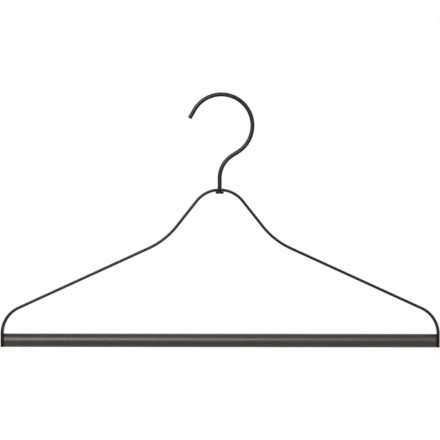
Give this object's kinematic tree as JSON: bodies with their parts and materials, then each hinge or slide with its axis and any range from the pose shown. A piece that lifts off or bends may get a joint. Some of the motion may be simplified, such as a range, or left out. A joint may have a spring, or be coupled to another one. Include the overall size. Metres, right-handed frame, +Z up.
{
  "type": "trouser hanger",
  "caption": "Slim black metal clothes hanger with a swivelling round wire hook, sloping shoulders and a straight dark brown sleeved bar for hanging trousers over.",
  "frame": {"origin": "where the rail touches the inside of the hook, at the top of the hook's round", "axes": "+X along the bar, away from the side on which the hook opens; +Y away from the viewer, along the rail; +Z up"},
  "size_m": [0.4199, 0.013, 0.2438],
  "materials": {
    "black_rod": "satin black powder coat",
    "black_strip": "satin black powder coat",
    "black_fittings": "satin black",
    "bare_steel": "drawn steel tube",
    "brown_sleeve": "matt to satin dark brown, finely grained",
    "black_plastic": "matt black moulding"
  },
  "bodies": {
    "hook_side": {"hook": "black_rod", "swivel_washer": "black_fittings", "rivet_collar": "black_fittings"},
    "hanger": {"frame": "black_strip", "bar_tube": "bare_steel", "bar_sleeve": "brown_sleeve", "end_plug_left": "black_plastic", "end_plug_right": "black_plastic", "end_screw_left": "black_fittings", "end_screw_right": "black_fittings"}
  },
  "joints": [
    {"name": "hook_swivel", "type": "hinge", "parent": "hook_side", "child": "hanger", "pos_m": [-0.00155, 0, -0.08934], "axis": [0, 0, 1], "continuous": true}
  ]
}
